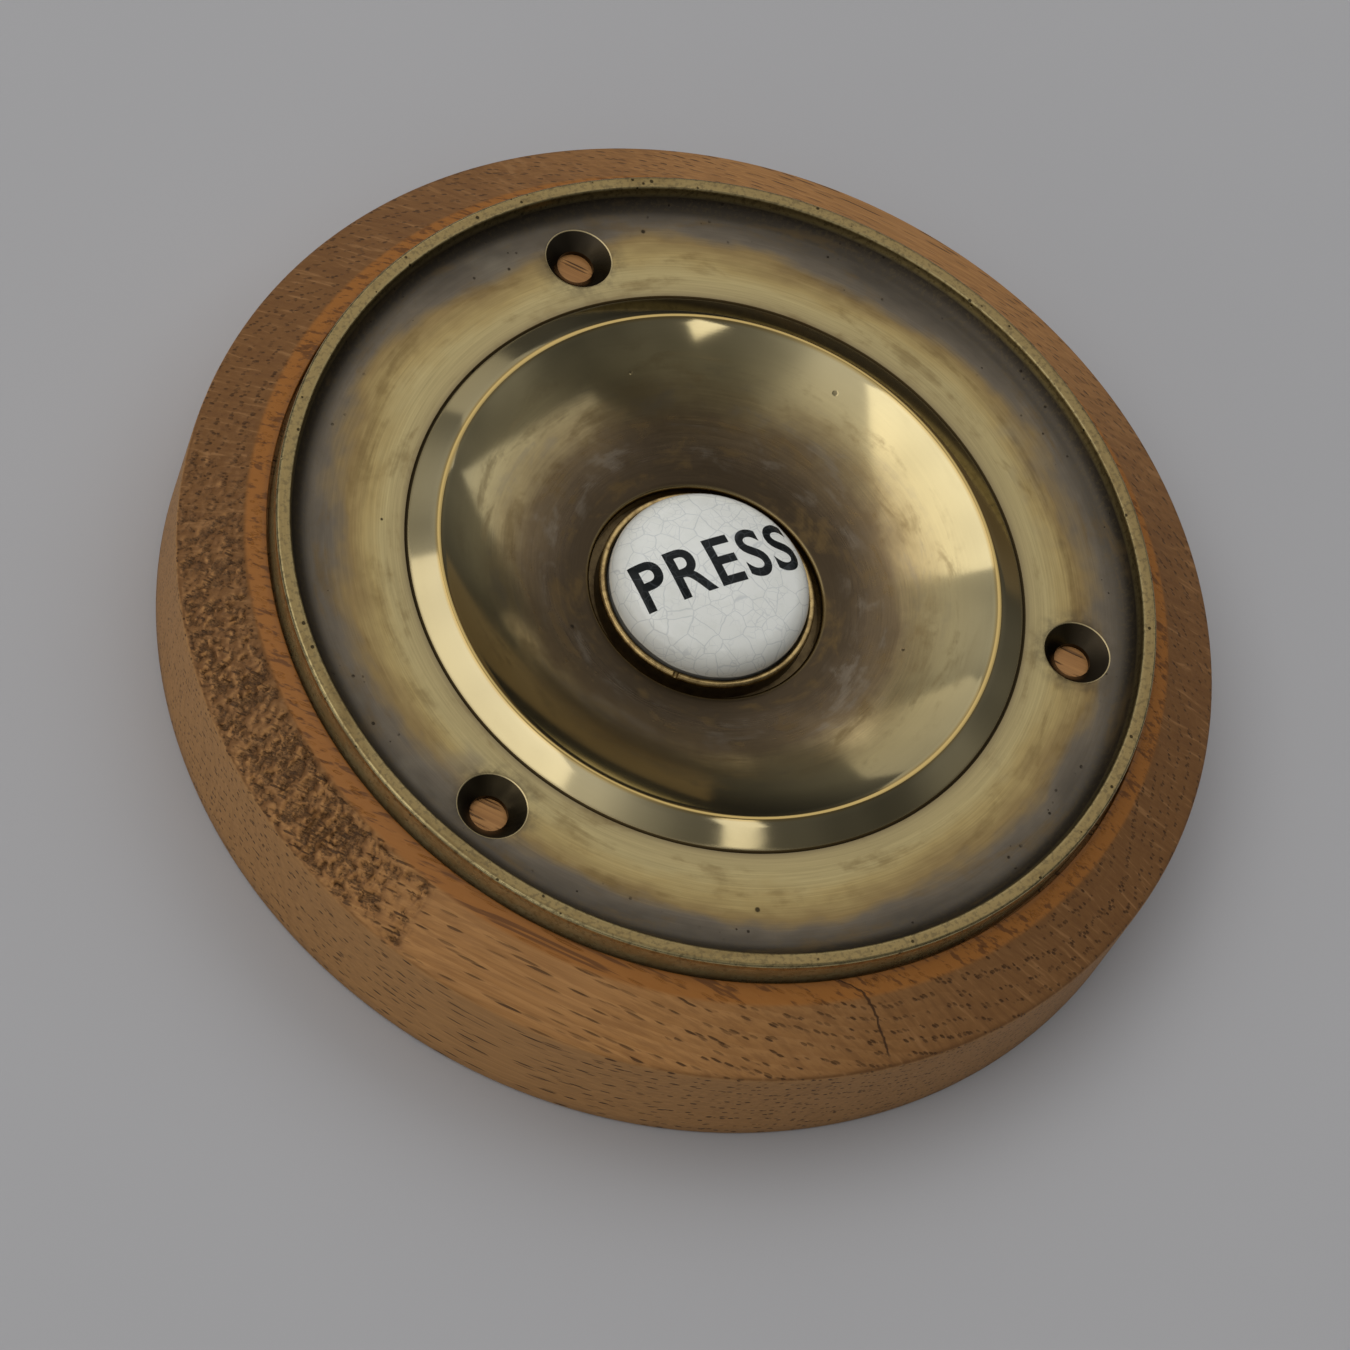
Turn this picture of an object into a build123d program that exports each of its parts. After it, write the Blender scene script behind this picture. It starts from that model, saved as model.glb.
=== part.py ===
from build123d import *
import os
from math import cos, radians, sin, sqrt

# Round door-bell push: a turned brass plate and a porcelain button on a turned oak block.
# Millimetres. The back of the oak lies on Z = 0, +Z points out of the door and +Y is up.

# Brass face plate
plate_radius = 47.5
rim_width = 1.55
rim_rise = 2.5  # rim top above the band
band_thickness = 2.3
bead_crest_radius = 30.3
bead_width = 3.0  # crest out to foot
bead_rise = 1.5  # crest above the band, before it is rounded
bead_round = 1.0
quirk = 0.35  # fine groove at the foot of the bead
dish_wall = 1.8
dish_depth = 6.8  # crest down to the lip of the button hole
button_gap = 0.9  # round the bezel cup, in the plate's hole
boss_width = 2.5  # flat ring under the plate that stops the retaining washer
lip_thickness = 1.8
lip_round = 0.5
rim_outer_round = 0.35
rim_inner_round = 0.25
pillar_radius = 2.2
pillar_margin = 3.5  # pillar axis inside the edge of the contact base

# Plate screws, No. 6 countersunk
plate_screw_count = 3
plate_screw_circle_radius = 39.5
plate_screw_hole_radius = 2.0
plate_screw_sink_radius = 3.6
plate_screw_angle = 90  # first hole at twelve o'clock

# Oak pattress
oak_margin = 9.0  # oak beyond the plate's edge
oak_bore_margin = 0.8  # bore inside the crest of the bead, clear of the dish
plate_clearance = 0.4
recess_depth = 2.0
land_width = 2.1
land_drop = 0.9
bevel_drop = 3.9
land_round = 0.6
shoulder_round = 0.8
back_ease = 0.4
wall_screw_count = 3
wall_screw_circle_radius = 38.0
wall_screw_hole_radius = 2.25
wall_screw_sink_radius = 4.5
sink_angle = 90

# Button
cup_radius = 11.8
cup_wall = 0.85
cup_floor = 0.7
cup_height = 2.6
nick_radius = 0.3
nick_angle = -131
insert_clearance = 0.1
insert_height = 6.5
insert_dome_radius = 30.0
insert_edge_round = 3.0
retaining_overlap = 1.5  # washer beyond the plate's hole
retaining_thickness = 1.0
retaining_clearance = 0.1
pip_radius = 3.0
pip_length = 1.1
pip_crown = 0.4
spigot_radius = 1.5
spigot_clearance = 0.05
travel = 2.0

# Contacts and their base
base_radius = 22.0
base_thickness = 2.4
base_edge = 0.4
leaf_thickness = 0.3
leaf_width = 7.0
leaf_reach = 4.0  # leaf and strip end this far past the middle
leaf_foot = 7.0
leaf_rise_length = 7.5
leaf_bend = 2.0
leaf_clearance = 0.05
strip_thickness = 0.6
strip_width = 7.0
point_radius = 1.5
point_height = 0.8
point_tail = 0.4
contact_spare = 0.05
terminal_margin = 6.0  # terminal axis inside the edge of the base
contact_end = 3.5  # leaf and strip run this far past their terminal

# Screws, nuts and washers
screw_radius = 1.4
screw_head_radius = 2.4
screw_head_height = 1.4
slot_width = 0.6
slot_depth = 0.7
screw_clearance = 0.1
screw_grip = 4.0  # base screw inside its pillar
terminal_tail = 0.4
terminal_gap = 0.5  # terminal end to the wall
nut_height = 1.6
nut_across_flats = 5.0
wire_washer_radius = 2.9
wire_washer_thickness = 0.5

# Heights, stacked from the wall up to the lip of the button hole
nut_bottom = terminal_gap + terminal_tail
wire_washer_bottom = nut_bottom + nut_height
base_bottom = wire_washer_bottom + wire_washer_thickness
base_top = base_bottom + base_thickness
strip_top = base_top + strip_thickness
point_top = strip_top + point_height
leaf_bottom = point_top + contact_spare + travel
leaf_top = leaf_bottom + leaf_thickness
pip_bottom = leaf_top + leaf_clearance
retaining_bottom = pip_bottom + pip_length
cup_bottom = retaining_bottom + retaining_thickness
cup_floor_top = cup_bottom + cup_floor
boss_bottom = cup_bottom + retaining_clearance
lip_top = boss_bottom + lip_thickness

# Heights and radii of the plate and the oak
crest_top = lip_top + dish_depth
band_top = crest_top - bead_rise
rim_top = band_top + rim_rise
seat = band_top - band_thickness
rim_inner_radius = plate_radius - rim_width
bead_foot_radius = bead_crest_radius + bead_width
button_hole_radius = cup_radius + button_gap
retaining_radius = button_hole_radius + retaining_overlap
boss_radius = button_hole_radius + boss_width
crest_reach = bead_crest_radius**2 + crest_top**2
lip_reach = button_hole_radius**2 + lip_top**2
dish_centre = (crest_reach - lip_reach) / (2 * dish_depth)
dish_radius = sqrt(button_hole_radius**2 + (dish_centre - lip_top) ** 2)
under_radius = dish_radius + dish_wall
under_edge = sqrt(under_radius**2 - (dish_centre - seat) ** 2)
oak_bore_radius = bead_crest_radius - oak_bore_margin
recess_radius = plate_radius + plate_clearance
land_top = seat + recess_depth
shoulder_top = land_top - land_drop
oak_wall = shoulder_top - bevel_drop
oak_radius = plate_radius + oak_margin
shank_hole = screw_radius + screw_clearance
pillar_circle = base_radius - pillar_margin
terminal_place = base_radius - terminal_margin


def dish_point(sphere_radius, radius):
    """Section point on a sphere about the dish's centre, at a radius from the axis."""
    return (radius, dish_centre - sqrt(sphere_radius**2 - radius**2))


# Oak pattress: a turned ring, recessed for the plate and bored through for the contacts
with BuildPart() as oak_pattress:
    with BuildSketch(Plane.XZ) as oak_section:
        with BuildLine():
            Polyline(
                (oak_bore_radius, 0),
                (oak_radius - back_ease, 0),
                (oak_radius, back_ease),
                (oak_radius, oak_wall),
                (recess_radius + land_width, shoulder_top),
                (recess_radius, land_top),
                (recess_radius, seat),
                (oak_bore_radius, seat),
                close=True,
            )
        make_face()
        corners = oak_section.vertices()
        fillet(corners.sort_by_distance((oak_radius, oak_wall))[0], shoulder_round)
        fillet(corners.sort_by_distance((recess_radius + land_width, shoulder_top))[0], shoulder_round)
        fillet(corners.sort_by_distance((recess_radius, land_top))[0], land_round)
    revolve(axis=Axis.Z)
    with Locations(Plane.XY.offset(seat)):
        with PolarLocations(wall_screw_circle_radius, wall_screw_count, start_angle=-plate_screw_angle):
            CounterSinkHole(
                wall_screw_hole_radius,
                wall_screw_sink_radius,
                counter_sink_angle=sink_angle,
            )
oak_pattress.part.label = "oak_pattress"

# Two pillars cast under the dish, which carry the contact base
with BuildPart() as pillars:
    with BuildSketch(Plane.XY.offset(base_top)):
        with PolarLocations(pillar_circle, 2, start_angle=90):
            Circle(pillar_radius)
    extrude(amount=band_top - base_top)
    with Locations((0, 0, dish_centre)):
        Sphere(dish_radius + dish_wall / 2, mode=Mode.SUBTRACT)

# Brass face plate: rim, cove, band, quirked bead and spherical dish, turned in one section
with BuildPart() as face_plate:
    with BuildSketch(Plane.XZ) as plate_section:
        with BuildLine():
            middle_radius = (bead_crest_radius + button_hole_radius) / 2
            under_middle = (under_edge + boss_radius) / 2
            cove_foot = rim_inner_radius - rim_rise
            cove_side = rim_rise * cos(radians(45))
            Polyline(
                (boss_radius, boss_bottom),
                (button_hole_radius, boss_bottom),
                (button_hole_radius, lip_top),
            )
            ThreePointArc(
                (button_hole_radius, lip_top),
                dish_point(dish_radius, middle_radius),
                (bead_crest_radius, crest_top),
            )
            Polyline(
                (bead_crest_radius, crest_top),
                (bead_foot_radius, band_top),
                (bead_foot_radius + quirk / 2, band_top - quirk),
                (bead_foot_radius + quirk, band_top),
                (cove_foot, band_top),
            )
            ThreePointArc(
                (cove_foot, band_top),
                (cove_foot + cove_side, rim_top - cove_side),
                (rim_inner_radius, rim_top),
            )
            Polyline(
                (rim_inner_radius, rim_top),
                (plate_radius, rim_top),
                (plate_radius, seat),
                (under_edge, seat),
            )
            ThreePointArc(
                (under_edge, seat),
                dish_point(under_radius, under_middle),
                dish_point(under_radius, boss_radius),
            )
            Line(dish_point(under_radius, boss_radius), (boss_radius, boss_bottom))
        make_face()
        corners = plate_section.vertices()
        fillet(corners.sort_by_distance((bead_crest_radius, crest_top))[0], bead_round)
        fillet(corners.sort_by_distance((button_hole_radius, lip_top))[0], lip_round)
        fillet(corners.sort_by_distance((plate_radius, rim_top))[0], rim_outer_round)
        fillet(corners.sort_by_distance((rim_inner_radius, rim_top))[0], rim_inner_round)
    revolve(axis=Axis.Z)
    add(pillars.part)
    with Locations(Plane.XY.offset(band_top)):
        with PolarLocations(plate_screw_circle_radius, plate_screw_count, start_angle=plate_screw_angle):
            CounterSinkHole(
                plate_screw_hole_radius,
                plate_screw_sink_radius,
                counter_sink_angle=sink_angle,
            )
    with Locations(Plane(origin=(0, 0, base_top), z_dir=(0, 0, -1))):
        with PolarLocations(pillar_circle, 2, start_angle=90):
            Hole(shank_hole, depth=screw_grip + screw_clearance)
face_plate.part.label = "face_plate"

# Button cup: drawn brass with a rounded lip and one small nick in it
with BuildPart() as button_cup:
    with BuildSketch(Plane.XZ) as cup_section:
        with BuildLine():
            Polyline(
                (spigot_radius + spigot_clearance, cup_bottom),
                (cup_radius, cup_bottom),
                (cup_radius, cup_bottom + cup_height),
                (cup_radius - cup_wall, cup_bottom + cup_height),
                (cup_radius - cup_wall, cup_floor_top),
                (spigot_radius + spigot_clearance, cup_floor_top),
                close=True,
            )
        make_face()
        lip_corners = cup_section.vertices().group_by(Axis.Y)[-1]
        fillet(lip_corners, cup_wall * 0.45)
    revolve(axis=Axis.Z)
    nick_place = (cup_radius * cos(radians(nick_angle)), cup_radius * sin(radians(nick_angle)))
    with Locations(Location((*nick_place, cup_bottom + cup_height), (0, 90, nick_angle))):
        Cylinder(nick_radius, 2 * cup_wall, mode=Mode.SUBTRACT)
button_cup.part.label = "button_cup"

# Porcelain insert: straight wall, rounded edge and a low dome, all tangent
insert_radius = cup_radius - cup_wall - insert_clearance
insert_top = cup_floor_top + insert_height
edge_centre_radius = insert_radius - insert_edge_round
dome_centre = insert_top - insert_dome_radius
edge_centre = dome_centre + sqrt((insert_dome_radius - insert_edge_round) ** 2 - edge_centre_radius**2)
tangent_share = insert_dome_radius / (insert_dome_radius - insert_edge_round)
tangent_radius = edge_centre_radius * tangent_share
tangent_top = dome_centre + (edge_centre - dome_centre) * tangent_share
tangent_point = (tangent_radius, tangent_top)
with BuildPart() as porcelain_insert:
    with BuildSketch(Plane.XZ):
        with BuildLine():
            Polyline(
                (0, insert_top),
                (0, cup_floor_top),
                (insert_radius, cup_floor_top),
                (insert_radius, edge_centre),
            )
            RadiusArc((insert_radius, edge_centre), tangent_point, -insert_edge_round)
            RadiusArc(tangent_point, (0, insert_top), -insert_dome_radius)
        make_face()
    revolve(axis=Axis.Z)
porcelain_insert.part.label = "porcelain_insert"

# Retaining washer: keeps the button behind the plate
with BuildPart() as retaining_washer:
    with BuildSketch(Plane.XY.offset(retaining_bottom)):
        Circle(retaining_radius)
        Circle(spigot_radius + spigot_clearance, mode=Mode.SUBTRACT)
    extrude(amount=retaining_thickness)
retaining_washer.part.label = "retaining_washer"

# Push pip: ebonite peg with a crowned end, riveted through washer and cup
with BuildPart() as push_pip:
    with BuildSketch(Plane.XZ):
        with BuildLine():
            Polyline(
                (0, pip_bottom),
                (0, cup_floor_top),
                (spigot_radius, cup_floor_top),
                (spigot_radius, retaining_bottom),
                (pip_radius, retaining_bottom),
                (pip_radius, pip_bottom + pip_crown),
            )
            crown_radius = (pip_radius**2 + pip_crown**2) / (2 * pip_crown)
            RadiusArc((pip_radius, pip_bottom + pip_crown), (0, pip_bottom), crown_radius)
        make_face()
    revolve(axis=Axis.Z)
push_pip.part.label = "push_pip"

# Contact base: ebonite disc with holes for the terminals and the base screws
with BuildPart() as contact_base:
    with BuildSketch(Plane.XY.offset(base_bottom)):
        Circle(base_radius)
        with PolarLocations(terminal_place, 2):
            Circle(shank_hole, mode=Mode.SUBTRACT)
        with PolarLocations(pillar_circle, 2, start_angle=90):
            Circle(shank_hole, mode=Mode.SUBTRACT)
    extrude(amount=base_thickness)
    rims = contact_base.edges().filter_by(GeomType.CIRCLE).sort_by(SortBy.RADIUS)[-2:]
    chamfer(rims, base_edge)
contact_base.part.label = "contact_base"

# Contact leaf: a cranked spring strip from its terminal up to the pip
with BuildPart() as contact_leaf:
    with BuildSketch(Plane.XZ):
        with BuildLine():
            foot_end = -terminal_place - contact_end
            crank = foot_end + leaf_foot
            FilletPolyline(
                (foot_end, base_top),
                (crank, base_top),
                (crank + leaf_rise_length, leaf_bottom),
                (leaf_reach, leaf_bottom),
                radius=leaf_bend,
            )
            offset(amount=leaf_thickness, side=Side.LEFT)
        make_face()
    extrude(amount=leaf_width / 2, both=True)
    fillet(contact_leaf.edges().filter_by(Axis.Z).group_by(Axis.X)[-1], leaf_width * 0.4)
    with Locations((-terminal_place, 0, base_top + leaf_thickness)):
        Hole(shank_hole)
contact_leaf.part.label = "contact_leaf"

# Contact strip: flat on the base, under the leaf
with BuildPart() as contact_strip:
    with BuildSketch(Plane.XY.offset(base_top)):
        strip_length = terminal_place + contact_end + leaf_reach
        with Locations((strip_length / 2 - leaf_reach, 0)):
            SlotOverall(strip_length, strip_width)
        with Locations((terminal_place, 0)):
            Circle(shank_hole, mode=Mode.SUBTRACT)
        Circle(point_radius / 2 + spigot_clearance, mode=Mode.SUBTRACT)
    extrude(amount=strip_thickness)
contact_strip.part.label = "contact_strip"

# Contact point: a domed rivet in the strip
with BuildPart() as contact_point:
    with BuildSketch(Plane.XZ):
        with BuildLine():
            Polyline(
                (0, point_top),
                (0, strip_top - point_tail),
                (point_radius / 2, strip_top - point_tail),
                (point_radius / 2, strip_top),
                (point_radius, strip_top),
            )
            point_crown = (point_radius**2 + point_height**2) / (2 * point_height)
            RadiusArc((point_radius, strip_top), (0, point_top), -point_crown)
        make_face()
    revolve(axis=Axis.Z)
contact_point.part.label = "contact_point"

# Terminal screws: one head on the leaf, one on the strip, both ending behind the base
with BuildPart() as terminal_screws:
    for place, head_seat in ((-terminal_place, base_top + leaf_thickness), (terminal_place, strip_top)):
        with BuildSketch(Plane((place, 0, head_seat))):
            Circle(screw_head_radius)
        extrude(amount=screw_head_height)
        with BuildSketch(Plane((place, 0, terminal_gap))):
            Circle(screw_radius)
        extrude(amount=head_seat - terminal_gap)
        with BuildSketch(Plane((place, 0, head_seat + screw_head_height))):
            Rectangle(slot_width, 2 * screw_head_radius)
        extrude(amount=-slot_depth, mode=Mode.SUBTRACT)
terminal_screws.part.label = "terminal_screws"

# Wire washers under the base
with BuildPart() as terminal_washers:
    with BuildSketch(Plane.XY.offset(wire_washer_bottom)):
        with PolarLocations(terminal_place, 2):
            Circle(wire_washer_radius)
            Circle(shank_hole, mode=Mode.SUBTRACT)
    extrude(amount=wire_washer_thickness)
terminal_washers.part.label = "terminal_washers"

# Terminal nuts, which clamp the bell wires
with BuildPart() as terminal_nuts:
    with BuildSketch(Plane.XY.offset(nut_bottom)):
        with PolarLocations(terminal_place, 2):
            RegularPolygon(nut_across_flats / 2, 6, major_radius=False)
            Circle(shank_hole, mode=Mode.SUBTRACT)
    extrude(amount=nut_height)
terminal_nuts.part.label = "terminal_nuts"

# Base screws, from behind through the base into the pillars
with BuildPart() as base_screws:
    with BuildSketch(Plane.XY.offset(base_bottom - screw_head_height)):
        with PolarLocations(pillar_circle, 2, start_angle=90):
            Circle(screw_head_radius)
    extrude(amount=screw_head_height)
    with BuildSketch(Plane.XY.offset(base_bottom)):
        with PolarLocations(pillar_circle, 2, start_angle=90):
            Circle(screw_radius)
    extrude(amount=base_thickness + screw_grip)
    with BuildSketch(Plane.XY.offset(base_bottom - screw_head_height)):
        with PolarLocations(pillar_circle, 2, start_angle=90):
            Rectangle(2 * screw_head_radius, slot_width)
    extrude(amount=slot_depth, mode=Mode.SUBTRACT)
base_screws.part.label = "base_screws"

os.makedirs("parts", exist_ok=True)
pieces = (
    oak_pattress,
    face_plate,
    button_cup,
    porcelain_insert,
    retaining_washer,
    push_pip,
    contact_base,
    contact_leaf,
    contact_strip,
    contact_point,
    terminal_screws,
    terminal_washers,
    terminal_nuts,
    base_screws,
)
for piece in pieces:
    export_step(piece.part, f"parts/{piece.part.label}.step")
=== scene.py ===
import math

import bmesh
import bpy
from mathutils import Matrix, Vector, noise


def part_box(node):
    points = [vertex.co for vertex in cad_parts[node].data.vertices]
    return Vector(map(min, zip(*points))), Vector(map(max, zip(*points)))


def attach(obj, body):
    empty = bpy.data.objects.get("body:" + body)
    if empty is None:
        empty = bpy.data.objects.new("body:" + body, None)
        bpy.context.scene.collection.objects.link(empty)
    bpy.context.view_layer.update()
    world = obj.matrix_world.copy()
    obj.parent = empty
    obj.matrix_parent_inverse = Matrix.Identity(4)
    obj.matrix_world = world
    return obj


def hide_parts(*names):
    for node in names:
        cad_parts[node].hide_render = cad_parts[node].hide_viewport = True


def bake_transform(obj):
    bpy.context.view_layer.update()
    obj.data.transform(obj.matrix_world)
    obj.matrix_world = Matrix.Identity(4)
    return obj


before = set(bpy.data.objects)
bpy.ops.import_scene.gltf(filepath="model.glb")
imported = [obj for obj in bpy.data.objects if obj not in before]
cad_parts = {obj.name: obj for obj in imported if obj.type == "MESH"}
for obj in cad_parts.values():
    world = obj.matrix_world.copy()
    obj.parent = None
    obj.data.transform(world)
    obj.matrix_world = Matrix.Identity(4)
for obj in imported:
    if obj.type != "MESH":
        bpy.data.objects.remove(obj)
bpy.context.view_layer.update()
mm = 0.001
sliver = 0.002  # narrowest face kept after a cut, in millimetres
overrun = 1.0  # how far a cutter reaches past a face
collection = bpy.context.scene.collection
print("frame loaded:", len(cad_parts), "nodes")


# small helpers for turned pieces, all in millimetres until finishPiece
def arcPoints(centre, radius, start, end, steps):
    points = []
    for i in range(steps + 1):
        angle = start + (end - start) * i / steps
        points.append((centre[0] + radius * math.cos(angle), centre[1] + radius * math.sin(angle)))
    return points


def drawSection(bm, points, closed=True):
    verts = [bm.verts.new((r, 0, z)) for r, z in points]
    for a, b in zip(verts, verts[1:]):
        bm.edges.new((a, b))
    if closed:
        bm.edges.new((verts[-1], verts[0]))


def roundCorner(bm, point, offset, segments):
    corner = min(bm.verts, key=lambda v: (v.co - Vector((point[0], 0, point[1]))).length)
    bmesh.ops.bevel(bm, geom=[corner], offset=offset, offset_type="OFFSET", affect="VERTICES",
                    segments=segments, profile=0.5, material=-1)


def splitLong(bm, spanAt):
    for edge in bm.edges[:]:
        middle = (edge.verts[0].co + edge.verts[1].co) / 2
        cuts = int(edge.calc_length() / spanAt(middle.x, middle.z))
        if cuts:
            bmesh.ops.subdivide_edges(bm, edges=[edge], cuts=cuts)


def turnSection(bm, steps):
    bmesh.ops.spin(bm, geom=bm.verts[:] + bm.edges[:], cent=(0, 0, 0), axis=(0, 0, 1),
                   angle=math.tau, steps=steps, use_merge=True)
    bmesh.ops.remove_doubles(bm, verts=bm.verts, dist=sliver)
    bmesh.ops.recalc_face_normals(bm, faces=bm.faces)


def finishPiece(bm, name, sharpAngle=32):
    bmesh.ops.scale(bm, vec=(mm, mm, mm), verts=bm.verts)
    mesh = bpy.data.meshes.new(name)
    bm.to_mesh(mesh)
    bm.free()
    piece = bpy.data.objects.new(name, mesh)
    collection.objects.link(piece)
    shadePiece(piece, sharpAngle)
    return piece


def clearSlivers(bm, size):
    bmesh.ops.remove_doubles(bm, verts=bm.verts, dist=size)
    bmesh.ops.dissolve_degenerate(bm, edges=bm.edges, dist=size)


def shadePiece(piece, sharpAngle=32):
    piece.data.shade_smooth()
    piece.data.set_sharp_from_angle(angle=math.radians(sharpAngle))


def cutPiece(piece, cutters, operation="DIFFERENCE"):
    for cutter in cutters:
        cut = piece.modifiers.new(cutter.name, "BOOLEAN")
        cut.object = cutter
        cut.operation = operation
        cut.solver = "EXACT"
    graph = bpy.context.evaluated_depsgraph_get()
    mesh = bpy.data.meshes.new_from_object(piece.evaluated_get(graph))
    bm = bmesh.new()
    bm.from_mesh(mesh)
    clearSlivers(bm, sliver * mm)
    bm.to_mesh(mesh)
    bm.free()
    piece.modifiers.clear()
    piece.data = mesh
    mesh.name = piece.name
    for cutter in cutters:
        bpy.data.objects.remove(cutter)
    shadePiece(piece)


def postSection(radius, low, high):
    return [(0, low), (radius, low), (radius, high), (0, high)]


def turnedCutter(name, points, place, steps):
    bm = bmesh.new()
    drawSection(bm, points, closed=False)
    turnSection(bm, steps)
    bmesh.ops.translate(bm, vec=place, verts=bm.verts)
    return finishPiece(bm, name)


def dressPiece(piece, material, node=None):
    piece.data.materials.clear()
    piece.data.materials.append(material)
    if node:
        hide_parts(node)
    print(piece.name + ":", len(piece.data.polygons), "faces")


def polar(radius, degrees, height=0.0):
    angle = math.radians(degrees)
    return Vector((radius * math.cos(angle), radius * math.sin(angle), height))


def smoothStep(low, high, value):
    t = min(1.0, max(0.0, (value - low) / (high - low)))
    return t * t * (3 - 2 * t)


# short ways to place shader nodes
class NodeBench:
    def __init__(self, tree):
        self.tree = tree

    def add(self, kind, **settings):
        node = self.tree.nodes.new(kind)
        for key, value in settings.items():
            setattr(node, key, value)
        return node

    def put(self, socket, value):
        if isinstance(value, bpy.types.NodeSocket):
            self.tree.links.new(value, socket)
        elif isinstance(value, (tuple, list)) and socket.type == "RGBA":
            socket.default_value = (*value[:3], 1)
        else:
            socket.default_value = value

    def calc(self, operation, a, b=0.0, clamp=False):
        node = self.add("ShaderNodeMath", operation=operation, use_clamp=clamp)
        for socket, value in zip(node.inputs, (a, b)):
            self.put(socket, value)
        return node.outputs[0]

    def plus(self, a, b):
        return self.calc("ADD", a, b)

    def minus(self, a, b):
        return self.calc("SUBTRACT", a, b)

    def times(self, first, *others):
        for other in others:
            first = self.calc("MULTIPLY", first, other)
        return first

    def vector(self, operation, a, b=None, scale=None):
        node = self.add("ShaderNodeVectorMath", operation=operation)
        self.put(node.inputs[0], a)
        if b is not None:
            self.put(node.inputs[1], b)
        if scale is not None:
            self.put(node.inputs["Scale"], scale)
        return node.outputs["Value" if operation in ("DOT_PRODUCT", "LENGTH", "DISTANCE") else "Vector"]

    def split(self, vector):
        node = self.add("ShaderNodeSeparateXYZ")
        self.put(node.inputs[0], vector)
        return node.outputs

    def join(self, x, y, z):
        node = self.add("ShaderNodeCombineXYZ")
        for socket, value in zip(node.inputs, (x, y, z)):
            self.put(socket, value)
        return node.outputs[0]

    def noise(self, vector, scale=1.0, detail=2.0, roughness=0.5, distortion=0.0, colour=False):
        node = self.add("ShaderNodeTexNoise")
        for key, value in (("Vector", vector), ("Scale", scale), ("Detail", detail),
                           ("Roughness", roughness), ("Distortion", distortion)):
            self.put(node.inputs[key], value)
        return node.outputs["Color" if colour else "Fac"]

    def cells(self, vector, scale=1.0, feature="F1"):
        node = self.add("ShaderNodeTexVoronoi", feature=feature)
        self.put(node.inputs["Vector"], vector)
        self.put(node.inputs["Scale"], scale)
        return node.outputs

    def spread(self, value, low, high, toLow=0.0, toHigh=1.0):
        node = self.add("ShaderNodeMapRange", interpolation_type="SMOOTHSTEP")
        for socket, number in zip(node.inputs, (value, low, high, toLow, toHigh)):
            self.put(socket, number)
        return node.outputs[0]

    def mix(self, share, a, b, blend="MIX"):
        node = self.add("ShaderNodeMix", data_type="RGBA", blend_type=blend)
        self.put(node.inputs[0], share)
        self.put(node.inputs[6], a)
        self.put(node.inputs[7], b)
        return node.outputs[2]

    def tint(self, colour, mask, share, paint):
        return self.mix(self.times(mask, share), colour, paint)

    def ramp(self, value, stops):
        node = self.add("ShaderNodeValToRGB")
        elements = node.color_ramp.elements
        while len(elements) < len(stops):
            elements.new(0.5)
        for element, (position, colour) in zip(elements, stops):
            element.position = position
            element.color = (*colour, 1)
        self.put(node.inputs[0], value)
        return node.outputs["Color"]

    def bump(self, height, distance, strength):
        node = self.add("ShaderNodeBump")
        for key, value in (("Height", height), ("Distance", distance), ("Strength", strength)):
            self.put(node.inputs[key], value)
        return node.outputs[0]

    def use(self, group, **values):
        node = self.add("ShaderNodeGroup", node_tree=group)
        for key, value in values.items():
            self.put(node.inputs[key], value)
        return node.outputs


def newGroup(name, inputs, outputs):
    group = bpy.data.node_groups.new(name, "ShaderNodeTree")
    for key, default in inputs.items():
        kind = "NodeSocketVector" if isinstance(default, tuple) else "NodeSocketFloat"
        group.interface.new_socket(key, in_out="INPUT", socket_type=kind).default_value = default
    for key in outputs:
        group.interface.new_socket(key, in_out="OUTPUT", socket_type="NodeSocketFloat")
    bench = NodeBench(group)
    entry = bench.add("NodeGroupInput").outputs
    leave = bench.add("NodeGroupOutput").inputs
    return group, bench, entry, leave


def newMaterial(name, **settings):
    material = bpy.data.materials.new(name)
    material.use_nodes = True
    bench = NodeBench(material.node_tree)
    shader = material.node_tree.nodes["Principled BSDF"].inputs
    for key, value in settings.items():
        bench.put(shader[key.replace("_", " ")], value)
    place = bench.add("ShaderNodeTexCoord").outputs["Object"]
    return material, bench, shader, bench.vector("SCALE", place, scale=1 / mm)


# shared effects: lathe rings, specks and hairline scratches
def makeLatheRings():
    group, bench, entry, leave = newGroup(
        "latheRings", {"Place": (0, 0, 0), "Fine": 6.0, "Drift": 2.5}, ("Radius", "Rings", "Swirl"))
    x, y, z = bench.split(entry["Place"])
    flat = bench.join(x, y, 0.0)
    radius = bench.vector("LENGTH", flat)
    around = bench.split(bench.vector("SCALE", bench.vector("NORMALIZE", flat), scale=entry["Drift"]))
    run = bench.plus(radius, bench.times(z, 0.7))
    fine = bench.join(around[0], around[1], bench.times(run, entry["Fine"]))
    slow = bench.join(around[0], around[1], bench.times(run, 0.35))
    bench.put(leave["Radius"], radius)
    bench.put(leave["Rings"], bench.noise(fine, 1.0, 4.0, 0.65))
    bench.put(leave["Swirl"], bench.noise(slow, 1.0, 5.0, 0.6, 0.6))
    return group


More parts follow.
